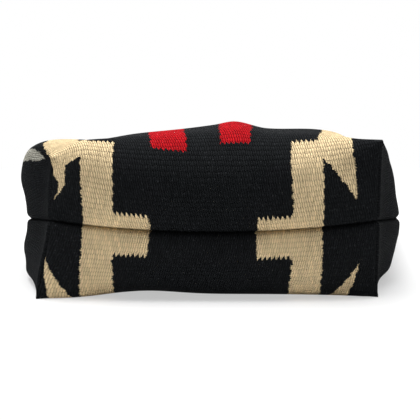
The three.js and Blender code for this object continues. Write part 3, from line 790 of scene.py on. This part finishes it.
def figure_group():
    """Fields of colour of one panel, with teeth and scallops where yarns meet."""
    if "Figure" in bpy.data.node_groups:
        return bpy.data.node_groups["Figure"]
    group, n, given, made = new_group(
        "Figure",
        [("Cloth", None), ("Tooth", 0.005), ("Tooth Pitch", 0.0047), ("Scallop", 0.0012)]
        + list(FRONT_FIGURE.items()),
        ["Cream", "Red", "Grey"])
    u, v, _ = n.split(given["Cloth"])
    loose = n.math("SUBTRACT", n.noise(given["Cloth"], LOOSE_SCALE), 0.5)
    hairs = []
    for stretch in HAIR_STRETCH:
        drawn = n.add("ShaderNodeVectorMath", operation="MULTIPLY")
        n.join(given["Cloth"], drawn.inputs[0])
        n.join(stretch, drawn.inputs[1])
        hairs.append(n.math("SUBTRACT", n.noise(drawn.outputs[0], HAIR_SCALE), 0.5))
    slow = n.noise(given["Cloth"], DRIFT_SCALE, detail=1.0)
    drift = n.math("MULTIPLY", n.math("SUBTRACT", slow, 0.5), DRIFT)

    # Heights are compared with the cloth's own height plus the teeth.
    tilted = n.math("MULTIPLY_ADD", v, TOOTH_SLANT,
                    n.math("MULTIPLY_ADD", loose, LOOSE_TEETH, u))
    wave = n.math("FRACT", n.math("DIVIDE", tilted, given["Tooth Pitch"]))
    rise = n.math("DIVIDE", wave, TOOTH_RISE, clamp=True)
    fall = n.math("DIVIDE", n.math("SUBTRACT", 1.0, wave), 1 - TOOTH_RISE, clamp=True)
    share = n.math("POWER", n.math("MINIMUM", rise, fall), TOOTH_POWER)
    teeth = n.math("MULTIPLY", n.math("SUBTRACT", share, TOOTH_MIDDLE), given["Tooth"])
    height = n.math("ADD", v, n.math("MULTIPLY_ADD", loose, LOOSE_UP, teeth))
    height = n.math("ADD", height, n.math("MULTIPLY", drift, DRIFT_UP))
    height = n.math("MULTIPLY_ADD", hairs[1], HAIR_UP, height)

    # Places across are compared with the distance from the middle line plus the scallops.
    straight = n.math("ADD", u, drift)
    left = n.math("LESS_THAN", straight, given["Middle"])
    away = n.math("ABSOLUTE", n.math("SUBTRACT", straight, given["Middle"]))
    bow = n.math("SINE", n.math("MULTIPLY", v, 2 * math.pi / SCALLOP_PITCH))
    bow = n.math("MULTIPLY", n.math("MULTIPLY", bow, 0.5), given["Scallop"])
    out = n.math("ADD", away, n.math("MULTIPLY_ADD", loose, LOOSE_ACROSS, bow))
    out = n.math("MULTIPLY_ADD", hairs[0], HAIR_ACROSS, out)

    # Cream: the arm, the stroke, and the block with its claw.
    arm_top = n.math("MULTIPLY_ADD", u, given["Arm Lean"], given["Arm"])
    arm = n.math("MULTIPLY", n.inside(out, ARM_FROM, STROKE[1]),
                 n.math("LESS_THAN", height, arm_top))
    stroke = n.math("MULTIPLY", n.inside(out, *STROKE),
                    n.math("LESS_THAN", height, given["Step"]))
    point = n.math("MULTIPLY_ADD", u, given["Lean"], given["Claw"])
    drop = n.math("SUBTRACT", given["Fork"], point)
    rough = n.math("MULTIPLY_ADD", loose, LOOSE_CLAW, v)
    below = n.math("DIVIDE", n.math("SUBTRACT", given["Fork"], rough), drop, clamp=True)
    curl = n.math("MULTIPLY", given["Hook"], left)
    flare = n.math("MULTIPLY_ADD", u, PLAIN_FLARE, given["Flare"])
    plain_inner = n.spread(below, 0, 1, STROKE[1], n.math("ADD", given["Edge"], flare))
    inner = n.spread(curl, 0, 1, plain_inner, n.ramps(below, HOOK_INNER))
    plain_outer = n.math("MULTIPLY_ADD", below, flare, given["Edge"])
    outer = n.spread(curl, 0, 1, plain_outer, n.ramps(v, HOOK_OUTER))
    smoother = n.math("SUBTRACT", out, n.math("MULTIPLY", bow, CLAW_SMOOTHING))
    claw = n.math("MULTIPLY", n.inside(smoother, inner, outer),
                  n.inside(v, CLAW_FROM, given["Fork"]))
    above = n.math("GREATER_THAN", v, n.math("SUBTRACT", given["Fork"], OVERLAP))
    block = n.math("MULTIPLY", n.inside(out, BLOCK_FROM, outer), above)
    block = n.math("MAXIMUM", block, claw)
    n.join(n.math("MAXIMUM", n.math("MAXIMUM", arm, stroke), block), made["Cream"])

    # Red: two bars, of which the left one is wider and ends in a slant.
    blunt = n.math("MULTIPLY_ADD", n.math("SUBTRACT", height, v), BAR_TEETH, v)
    blunt = n.math("SUBTRACT", blunt, BAR_RAISE)
    slant = n.math("MULTIPLY_ADD", u, *LEFT_BAR_SLANT)
    blunt = n.math("MULTIPLY_ADD", left, slant, blunt)
    bar_to = n.math("MULTIPLY_ADD", left, LEFT_BAR_WIDER, BARS[1])
    n.join(n.math("MULTIPLY", n.inside(out, BARS[0], bar_to),
                  n.inside(blunt, given["Bar"], FIGURE_TOP)), made["Red"])

    # Grey: a stripe that tapers at its lower end.
    lower = n.math("MULTIPLY_ADD", n.math("SUBTRACT", out, STRIPES[0]), STRIPE_SLANT,
                   given["Wedge"])
    length, start = STRIPE_TAPER
    full = n.math("ADD", given["Wedge"], length)
    taper = n.spread(v, given["Wedge"], full, start, STRIPES[0])
    n.join(n.math("MULTIPLY", n.inside(out, taper, STRIPES[1]), n.inside(v, lower, FIGURE_TOP)),
           made["Grey"])
    return group


def material_with(name, roughness, specular=0.5):
    """A new material with its nodes and its shader."""
    material = bpy.data.materials.new(name)
    material.use_nodes = True
    shader = material.node_tree.nodes["Principled BSDF"]
    shader.inputs["Roughness"].default_value = roughness
    shader.inputs["Specular IOR Level"].default_value = specular
    return material, Nodes(material.node_tree), shader


def cloth_map(n):
    """The place on the cut cloth, in metres."""
    return n.add("ShaderNodeUVMap", uv_map="cloth").outputs[0]


def object_place(n):
    """The place in the bag's frame, in metres."""
    return n.add("ShaderNodeTexCoord").outputs["Object"]


# Finish of the wool, with painted light on its bumps and painted shade between them. Tones multiply
# the yarn's colour.
PATCH_TONES = (0.93, 1.06)     # darkest and palest patches of the cloth
YARN_TONES = (0.88, 1.10)      # darkest and palest yarns
BUMP_TOP_LIGHT = 1.06                # painted light on the top of a bump
CREVICE_SHADE_TONES = (0.44, 0.70)   # painted shade in the crevices, from patch to patch
CREVICE_RANGE = (0.35, 0.65)   # noise between which that painted shade goes from one to the other
LINT_COLOUR = (0.30, 0.31, 0.34, 1)
LINT = (0.60, 0.73, 0.0, 0.07)  # noise where the lint starts and is full, and its cover
LINT_SCALE = 420
FIBRE_SCALE, FIBRE = 1500, 0.35  # fibres on the bumps, as a share of a bump's height


def wool(name, colours, weave, figure):
    """Weft-faced wool with the figure of one panel."""
    material, n, shader = material_with(name, roughness=0.80, specular=0.022)
    place = cloth_map(n)
    bumps = n.group(weave_group(), {"Cloth": place, "Row": weave.row, "Weft": weave.weft})
    fields = n.group(figure_group(), {
        "Cloth": place, "Tooth": weave.tooth, "Tooth Pitch": weave.tooth_pitch,
        "Scallop": weave.scallop, **figure})
    color = tuple(colours.black)
    for field, yarn in (("Cream", colours.cream), ("Red", colours.red), ("Grey", colours.grey)):
        color = n.blend(fields[field], color, tuple(yarn))
    darkest, palest = PATCH_TONES
    uneven = n.group(unevenness_group(), {
        "Place": place, "Scale": 22.0, "Detail": 3.0, "Darkest": darkest, "Palest": palest})
    tone = n.math("MULTIPLY", uneven["Tone"], n.spread(bumps["Yarn"], 0, 1, *YARN_TONES))
    # Painted shade darkens the crevices between the bumps, and painted light makes the bumps' tops
    # paler.
    depth = n.spread(uneven["Cloud"], *CREVICE_RANGE, *CREVICE_SHADE_TONES)
    tone = n.math("MULTIPLY", tone, n.spread(bumps["Crevice"], 0, 1, BUMP_TOP_LIGHT, depth))
    specks = n.spread(n.noise(place, LINT_SCALE), *LINT)
    color = n.blend(specks, n.toned(color, tone), LINT_COLOUR)
    n.join(color, shader.inputs["Base Color"])
    fibre = n.noise(place, FIBRE_SCALE)
    height = n.math("MULTIPLY_ADD", fibre, FIBRE, bumps["Height"])
    n.bump(shader, height, strength=1.0, distance=0.0015)
    return material


def cotton(colours):
    """Plain-woven cotton of the lining."""
    material, n, shader = material_with("Lining cotton", roughness=0.85, specular=0.2)
    bumps = n.group(weave_group(), {"Cloth": cloth_map(n), "Row": 0.0009, "Weft": 0.0008})
    # Painted light on the bumps' tops and painted shade in the crevices between them.
    tone = n.spread(bumps["Crevice"], 0, 1, 1.1, 0.75)
    n.join(n.toned(tuple(colours.lining), tone), shader.inputs["Base Color"])
    return material


def hide(colours):
    """Leather of the straps, with a fine grain and uneven gloss."""
    material, n, shader = material_with("Strap leather", roughness=0.5, specular=0.3)
    place = object_place(n)
    uneven = n.group(unevenness_group(), {"Place": place, "Scale": 35.0, "Palest": 1.25})
    n.join(n.toned(tuple(colours.leather), uneven["Tone"]), shader.inputs["Base Color"])
    n.join(n.spread(uneven["Cloud"], *CLOUD_RANGE, 0.42, 0.58), shader.inputs["Roughness"])
    grain = n.add("ShaderNodeTexVoronoi", feature="DISTANCE_TO_EDGE")
    n.join(900.0, grain.inputs["Scale"])
    n.join(place, grain.inputs["Vector"])
    height = n.spread(grain.outputs["Distance"], 0, 0.3, 0, 1)
    n.bump(shader, height, strength=0.35, distance=0.0003)
    return material


def thread(colours):
    """Thread of the straps' stitches, slightly uneven."""
    material, n, shader = material_with("Strap thread", roughness=0.6)
    uneven = n.group(unevenness_group(), {"Place": object_place(n), "Scale": 300.0})
    n.join(n.toned(tuple(colours.thread), uneven["Tone"]), shader.inputs["Base Color"])
    return material


PROBE = 6                      # spacing of the places that find the bag's frame, in millimetres
PROBE_INSET = 8                # and their distance from the side seams


def frame_shift(form):
    """From the bag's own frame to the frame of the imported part, in metres."""
    low, high = (np.array(p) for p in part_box("front_ground"))
    us = spaced(-form.side + PROBE_INSET, form.side - PROBE_INSET, PROBE)
    u, v = (a.ravel() for a in np.meshgrid(us, spaced(form.depth, form.top, PROBE)))
    p = form.bare(u, v, True) * MM
    across = (low[0] + high[0]) / 2 - (p[:, 0].min() + p[:, 0].max()) / 2
    return np.array([across, high[1] - form.height * MM, 0.0])


def flat_area(form, hem):
    """Area of a panel as it was cut, in square metres."""
    upper = 2 * form.side * (form.height + hem)
    return (upper + 2 * form.length * form.depth) * MM * MM


FRONT_NODES = [
    "front_ground", "front_cream_left", "front_cream_right", "front_red_left", "front_red_right",
    "front_grey_left", "front_grey_right",
]
BACK_NODES = [name.replace("front", "back") for name in FRONT_NODES]


class TOTE_OT_panel(bpy.types.Operator):
    """Makes one woven panel with its seams rolled in and its hem turned over"""

    bl_idname = "tote.panel"
    bl_label = "Panel"
    front: bpy.props.BoolProperty(name="Front", description="The upper panel", default=True)

    def execute(self, context):
        scene = context.scene
        form = Form(scene.tote_sizes)
        figure = FRONT_FIGURE if self.front else BACK_FIGURE
        name = "panel_front" if self.front else "panel_back"
        material = wool("Wool " + name, scene.tote_colours, scene.tote_weave, figure)
        end = form.top + math.pi * MOUTH_FOLD + form.hem
        patches = panel_patches(form, self.front, form.cloth_point, form.allowance, end,
                                form.facet)
        panel = cloth_object(name, patches, frame_shift(form), material)
        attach(panel, "root")
        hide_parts(*(FRONT_NODES + ["mouth_hem"] if self.front else BACK_NODES))
        flat_area(form, form.hem)
        return {"FINISHED"}


class TOTE_OT_lining(bpy.types.Operator):
    """Makes the lining, one bag of cotton inside the wool"""

    bl_idname = "tote.lining"
    bl_label = "Lining"

    def execute(self, context):
        scene = context.scene
        form = Form(scene.tote_sizes)
        form.upper_round = form.lower_round = form.end_round = LINING_ROUND
        patches = []
        for front in (True, False):
            patches += panel_patches(form, front, form.lining_point, 0, form.top - LINING_SHORT,
                                     LINING_FACET)
        material = cotton(scene.tote_colours)
        lining = cloth_object("lining_cloth", patches, frame_shift(form), material)
        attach(lining, "root")
        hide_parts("lining")
        return {"FINISHED"}


def strap_sections(node):
    """The sections of a packed strap from end to end: middle, half width and half thickness."""
    build = bmesh.new()
    build.from_mesh(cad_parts[node].data)
    bmesh.ops.remove_doubles(build, verts=build.verts, dist=SAME_PLACE)
    places = {v.index: np.array(v.co) for v in build.verts}
    links = {v.index: {e.other_vert(v).index for e in v.link_edges} for v in build.verts}
    build.free()

    # From the left end's four corners on, each section is what the last one is joined to.
    left = [i for i in places if places[i][0] < 0]
    start = set(sorted(left, key=lambda i: places[i][1])[:4])
    layers, seen = [start], set(start)
    while True:
        found = set().union(*(links[i] for i in layers[-1])) - seen
        if not found:
            break
        if len(found) != 4:
            raise RuntimeError(node + " isn't a row of four-cornered sections")
        layers.append(found)
        seen |= found

    sections = []
    for layer in layers:
        p = np.array([places[i] for i in sorted(layer)])
        middle = p.mean(axis=0)
        arms = p - middle
        partner = 1 + int(np.argmin([np.linalg.norm(arms[0] - arms[k]) for k in (1, 2, 3)]))
        others = [k for k in (1, 2, 3) if k != partner]
        wide = (arms[0] + arms[partner] - arms[others[0]] - arms[others[1]]) / 4
        thick = (arms[0] - arms[partner]) / 2
        if sections:
            wide = wide if wide @ sections[-1][1] > 0 else -wide
            thick = thick if thick @ sections[-1][2] > 0 else -thick
        sections.append((middle, wide, thick))
    return [np.array(column) for column in zip(*sections)]


def eased(values, at):
    """Values of a smooth curve through evenly numbered stations."""
    i = np.clip(at.astype(int), 0, len(values) - 2)
    t = (at - i)[:, None]
    before = values[np.maximum(i - 1, 0)]
    after = values[np.minimum(i + 2, len(values) - 1)]
    a, b = values[i], values[i + 1]
    return 0.5 * (2 * a + (b - before) * t + (2 * before - 5 * a + 4 * b - after) * t ** 2
                  + (3 * a - before - 3 * b + after) * t ** 3)


def strap_path(node, step):
    """The strap resampled evenly: middles, directions across and through, and distances."""
    middle, wide, thick = strap_sections(node)
    fine = np.linspace(0, len(middle) - 1, 12 * len(middle))
    run = eased(middle, fine)
    gone = np.concatenate([[0], np.cumsum(np.linalg.norm(np.diff(run, axis=0), axis=1))])
    even = spaced(0, gone[-1], step)
    at = np.interp(even, gone, fine)
    return eased(middle, at), eased(wide, at), eased(thick, at), even


# The strap's section, in shares of its half width and half thickness.
SECTION_POINTS = 28
EDGE_POWER = 0.22              # a lower power makes the edges squarer
FACE_POWER = 0.55              # and the faces flatter
STITCH_ROW = 0.80              # place of the rows of stitches and their grooves
GROOVE_DEPTH, GROOVE_WIDTH = 0.16, 0.05

# The strap and its stitches, in metres, or in shares of the sizes above.
STRAP_FACET = 0.004
THREAD_RADIUS = 0.00045
THREAD_END = 0.55              # a stitch narrows to this share at its ends
STITCH_LENGTH = 0.72           # of the stitches' spacing
STITCH_SINK = 0.90             # height of a stitch in its groove
STITCH_ARCH = (0.6, 1.4)       # share of its rise that is sunk, and the rise in thread radii
CROSS_ROW = np.linspace(-0.62, 0.62, 5)  # stitches of a row across the strap


def strap_profile():
    """Half-size shares round a strap's section: domed faces and rounded edges."""
    points = []
    for angle in np.linspace(0, 2 * math.pi, SECTION_POINTS, endpoint=False):
        c, s = math.cos(angle), math.sin(angle)
        x = math.copysign(abs(c) ** EDGE_POWER, c)
        y = math.copysign(abs(s) ** FACE_POWER, s)
        groove = GROOVE_DEPTH * math.exp(-((abs(x) - STITCH_ROW) / GROOVE_WIDTH) ** 2)
        points.append((x, y * (1 - groove)))
    return points


def add_tube(build, rings):
    """A tube through rings of points, with its ends filled."""
    rows = [[build.verts.new(p) for p in ring] for ring in rings]
    for first, second in zip(rows, rows[1:]):
        for j in range(len(first)):
            k = (j + 1) % len(first)
            build.faces.new((first[j], first[k], second[k], second[j]))
    build.faces.new(rows[0][::-1])
    build.faces.new(rows[-1])


def stitch_rings(middle, along, across, out, length, sides=6, steps=5):
    """The rings of one stitch: a short thread that dips into the strap at both ends."""
    sunk, rise = STITCH_ARCH
    rings = []
    for i in range(steps):
        t = i / (steps - 1)
        arch = math.sin(math.pi * t)
        lift = out * (arch - sunk) * THREAD_RADIUS * rise
        centre = middle + along * (t - 0.5) * length + lift
        size = THREAD_RADIUS * mix(THREAD_END, 1, arch)
        turns = (2 * math.pi * j / sides for j in range(sides))
        rings.append([centre + (across * math.cos(a) + out * math.sin(a)) * size for a in turns])
    return rings


def strap_stitches(node, sizes):
    """The rings of every stitch: rows along both edges, and rows across the sewn ends."""
    middle, wide, thick, gone = strap_path(node, sizes.stitch)
    length = sizes.stitch * STITCH_LENGTH
    for i in range(1, len(gone) - 1):
        along = unit(middle[i + 1] - middle[i - 1])
        across = unit(wide[i])
        to_end = min(gone[i], gone[-1] - gone[i])
        at_sewn_end = abs(to_end - sizes.strap_sewn) < sizes.stitch / 2
        crossed = to_end < sizes.strap_sewn and (at_sewn_end or i in (1, len(gone) - 2))
        for face in (-1, 1):
            out = face * unit(thick[i])
            for share in (-STITCH_ROW, STITCH_ROW):
                place = middle[i] + wide[i] * share + face * thick[i] * STITCH_SINK
                yield stitch_rings(place, along, across, out, length)
            for share in CROSS_ROW if crossed else ():
                place = middle[i] + wide[i] * share + face * thick[i]
                yield stitch_rings(place, across, along, out, length)


def finished(name, build, material, flat_ends=False):
    """An object from a built mesh, smooth but for its flat ends."""
    bmesh.ops.recalc_face_normals(build, faces=build.faces)
    for face in build.faces:
        face.smooth = not (flat_ends and len(face.verts) != 4)
    mesh = bpy.data.meshes.new(name)
    build.to_mesh(mesh)
    build.free()
    mesh.materials.append(material)
    return linked(name, mesh)


class TOTE_OT_strap(bpy.types.Operator):
    """Makes one leather strap with rounded edges and the stitches along them"""

    bl_idname = "tote.strap"
    bl_label = "Strap"
    node: bpy.props.StringProperty(name="Node", description="The strap's node in the frame")

    def execute(self, context):
        scene = context.scene
        profile = strap_profile()
        sections = zip(*strap_path(self.node, STRAP_FACET))
        build = bmesh.new()
        add_tube(build, [[middle + wide * x + thick * y for x, y in profile]
                         for middle, wide, thick, _ in sections])
        strap = finished(self.node + "_leather", build, hide(scene.tote_colours), flat_ends=True)
        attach(strap, "root")
        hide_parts(self.node)

        build = bmesh.new()
        for rings in strap_stitches(self.node, scene.tote_sizes):
            add_tube(build, rings)
        stitches = finished(self.node + "_stitches", build, thread(scene.tote_colours))
        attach(stitches, "root")
        return {"FINISHED"}


# The stage, in metres.
FLOOR_REACH = 30
FLOOR_DROP = 0.0005            # the floor lies this far under the bag
SHADOW = (0.30, 0.62, 0.5, 1.0)  # two distances, and the floor's share of plain white at each
TOP_LIGHT = ((-0.15, 0.15, 1.9), (0, -0.1, 0), 1.7)    # place, target and width
FRONT_LIGHT = ((-0.4, -2.2, 1.1), (0, -0.25, 0.08), 1.6)
PICTURE_POINTS = 420
SENSOR = 36                    # millimetres


def stage_material():
    """A pale floor that keeps the shadow near the bag and is plain white beyond it."""
    material, n, shader = material_with("Pale floor", roughness=0.9, specular=0.1)
    n.join((0.93, 0.93, 0.93, 1), shader.inputs["Base Color"])
    place = n.add("ShaderNodeNewGeometry").outputs["Position"]
    length = n.add("ShaderNodeVectorMath", operation="LENGTH")
    n.join(place, length.inputs[0])
    far = n.spread(length.outputs["Value"], *SHADOW)
    white = n.add("ShaderNodeEmission")
    n.join(1.0, white.inputs["Strength"])
    both = n.add("ShaderNodeMixShader")
    n.join(n.math("MULTIPLY", n.backdrop(), far), both.inputs[0])
    n.join(shader.outputs[0], both.inputs[1])
    n.join(white.outputs[0], both.inputs[2])
    out = next(node for node in n.tree.nodes if node.type == "OUTPUT_MATERIAL")
    n.join(both.outputs[0], out.inputs["Surface"])
    return material


def aimed(name, data, place, direction):
    """A light or a camera in its place, pointing in a direction."""
    obj = linked(name, data)
    obj.location = place
    obj.rotation_mode = "QUATERNION"
    obj.rotation_quaternion = direction.to_track_quat("-Z", "Y")
    return obj


def area_light(name, place, target, size, power):
    """A square soft light aimed at a place."""
    data = bpy.data.lights.new(name, "AREA")
    data.size = size
    data.energy = power
    aimed(name, data, place, Vector(target) - Vector(place))


class TOTE_OT_stage(bpy.types.Operator):
    """Makes the floor, the lights, the sky and the camera"""

    bl_idname = "tote.stage"
    bl_label = "Stage"

    def execute(self, context):
        scene = context.scene
        stage = scene.tote_stage
        shift = Vector(frame_shift(Form(scene.tote_sizes)))

        mesh = bpy.data.meshes.new("floor")
        reach = FLOOR_REACH
        mesh.from_pydata(
            [(-reach, -reach, 0), (reach, -reach, 0), (reach, reach, 0), (-reach, reach, 0)],
            [], [(0, 1, 2, 3)])
        mesh.materials.append(stage_material())
        floor = linked("floor", mesh)
        floor.location.z = -FLOOR_DROP

        area_light("top_light", *TOP_LIGHT, stage.top_light)
        area_light("front_light", *FRONT_LIGHT, stage.front_light)

        world = bpy.data.worlds.new("sky")
        world.use_nodes = True
        scene.world = world
        n = Nodes(world.node_tree)
        even = world.node_tree.nodes["Background"]
        n.join((1.0, 1.0, 1.0, 1.0), even.inputs["Color"])
        n.join(n.spread(n.backdrop(), 0, 1, stage.sky, 1.0), even.inputs["Strength"])

        scene.view_settings.view_transform = "Standard"
        data = bpy.data.cameras.new("camera")
        data.sensor_width = SENSOR
        data.lens = SENSOR * stage.focal_points / PICTURE_POINTS
        target = Vector((stage.aim_side, 0, stage.aim_height)) + Vector((shift.x, shift.y, 0))
        back = Vector((0, -math.cos(stage.elevation), math.sin(stage.elevation)))
        scene.camera = aimed("camera", data, target + back * stage.distance, -back)
        return {"FINISHED"}


class TOTE_PT_sidebar(bpy.types.Panel):
    """Lists the tote's sizes, colours and pieces"""

    bl_idname = "TOTE_PT_sidebar"
    bl_label = "Woven tote"
    bl_space_type = "VIEW_3D"
    bl_region_type = "UI"
    bl_category = "Tote"

    def draw(self, context):
        scene = context.scene
        for group in (scene.tote_sizes, scene.tote_weave, scene.tote_colours, scene.tote_stage):
            box = self.layout.box()
            for name in group.__annotations__:
                box.prop(group, name)
        for operator in (TOTE_OT_panel, TOTE_OT_lining, TOTE_OT_strap, TOTE_OT_stage):
            self.layout.operator(operator.bl_idname)


CLASSES = (
    ToteSizes, ToteWeave, ToteColours, ToteStage,
    TOTE_OT_panel, TOTE_OT_lining, TOTE_OT_strap, TOTE_OT_stage, TOTE_PT_sidebar,
)


def register():
    """Adds the classes, and the sizes and colours to the scene."""
    for cls in CLASSES:
        bpy.utils.register_class(cls)
    bpy.types.Scene.tote_sizes = bpy.props.PointerProperty(type=ToteSizes)
    bpy.types.Scene.tote_weave = bpy.props.PointerProperty(type=ToteWeave)
    bpy.types.Scene.tote_colours = bpy.props.PointerProperty(type=ToteColours)
    bpy.types.Scene.tote_stage = bpy.props.PointerProperty(type=ToteStage)


def unregister():
    """Takes them away again."""
    for name in ("tote_sizes", "tote_weave", "tote_colours", "tote_stage"):
        delattr(bpy.types.Scene, name)
    for cls in reversed(CLASSES):
        bpy.utils.unregister_class(cls)


def main():
    """Builds the dressed bag and its stage."""
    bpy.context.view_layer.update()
    register()
    bpy.ops.tote.panel(front=True)
    bpy.ops.tote.panel(front=False)
    bpy.ops.tote.lining()
    bpy.ops.tote.strap(node="handle_front")
    bpy.ops.tote.strap(node="handle_back")
    bpy.ops.tote.stage()


if __name__ == "__main__":
    main()
